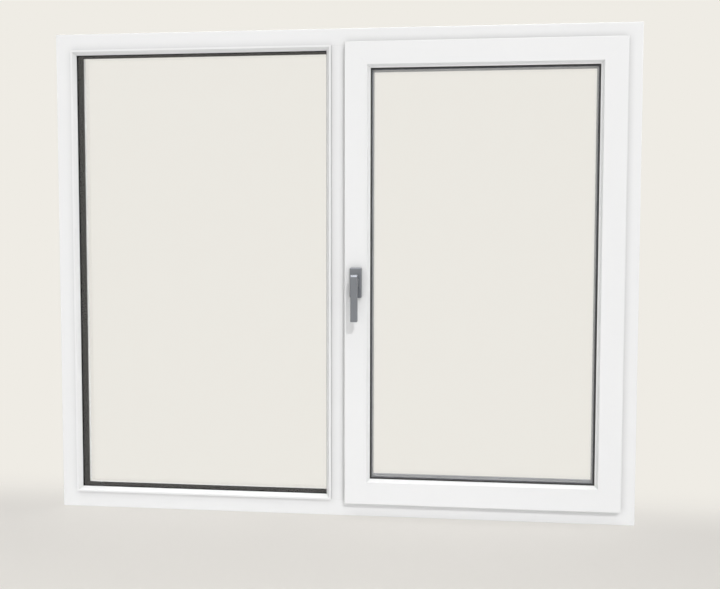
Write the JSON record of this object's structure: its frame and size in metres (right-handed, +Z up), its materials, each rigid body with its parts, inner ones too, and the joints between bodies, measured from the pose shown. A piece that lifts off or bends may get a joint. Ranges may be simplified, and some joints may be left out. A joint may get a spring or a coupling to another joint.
{
  "type": "tilt and turn window",
  "caption": "White framed window with a fixed light and a tilt and turn sash side by side, sealed glass units, bevelled glazing beads and a grey lever handle.",
  "frame": {"origin": "on the underside of the sill, in the middle of the window's width and of the frame's depth", "axes": "+X along the width, to the right seen from the room; +Y from the room to the street; +Z up"},
  "size_m": [1.5, 0.143, 1.25],
  "materials": {
    "frame_profile": "white extruded PVC, satin",
    "sash_profile": "white extruded PVC, satin",
    "glazing_bead": "white extruded PVC, satin",
    "gasket": "black rubber, matt",
    "weather_seal": "dark grey rubber, matt",
    "glass": "clear float glass",
    "dark_spacer": "black insulating spacer bar",
    "grey_spacer": "satin steel spacer bar",
    "edge_seal": "black sealant",
    "setting_block": "moulded plastic block",
    "handle_metal": "anodised aluminium, titanium grey, satin",
    "spindle_steel": "zinc-plated steel"
  },
  "bodies": {
    "window": {"frame_sill": "frame_profile", "frame_head": "frame_profile", "frame_left_jamb": "frame_profile", "frame_right_jamb": "frame_profile", "mullion": "frame_profile", "sash_bottom_rail": "sash_profile", "sash_top_rail": "sash_profile", "sash_handle_stile": "sash_profile", "sash_hinge_stile": "sash_profile", "fixed_bead_bottom": "glazing_bead", "fixed_bead_top": "glazing_bead", "fixed_bead_left": "glazing_bead", "fixed_bead_right": "glazing_bead", "sash_bead_bottom": "glazing_bead", "sash_bead_top": "glazing_bead", "sash_bead_left": "glazing_bead", "sash_bead_right": "glazing_bead", "fixed_bead_gasket": "gasket", "fixed_outer_gasket": "gasket", "sash_bead_gasket": "gasket", "sash_outer_gasket": "gasket", "sash_overlap_seal": "weather_seal", "sash_stop_seal": "weather_seal", "fixed_room_pane": "glass", "fixed_middle_pane": "glass", "fixed_street_pane": "glass", "sash_room_pane": "glass", "sash_middle_pane": "glass", "sash_street_pane": "glass", "fixed_room_spacer": "dark_spacer", "fixed_street_spacer": "dark_spacer", "sash_room_spacer": "grey_spacer", "sash_street_spacer": "grey_spacer", "fixed_room_edge_seal": "edge_seal", "fixed_street_edge_seal": "edge_seal", "sash_room_edge_seal": "edge_seal", "sash_street_edge_seal": "edge_seal", "fixed_setting_blocks": "setting_block", "sash_setting_blocks": "setting_block", "handle_rose": "handle_metal"},
    "handle": {"handle_lever": "handle_metal", "handle_spindle": "spindle_steel"}
  },
  "joints": [
    {"name": "handle_turn", "type": "hinge", "parent": "window", "child": "handle", "pos_m": [0.0455, -0.07, 0.608], "axis": [0, -1, 0], "range_deg": [0, 180]}
  ]
}
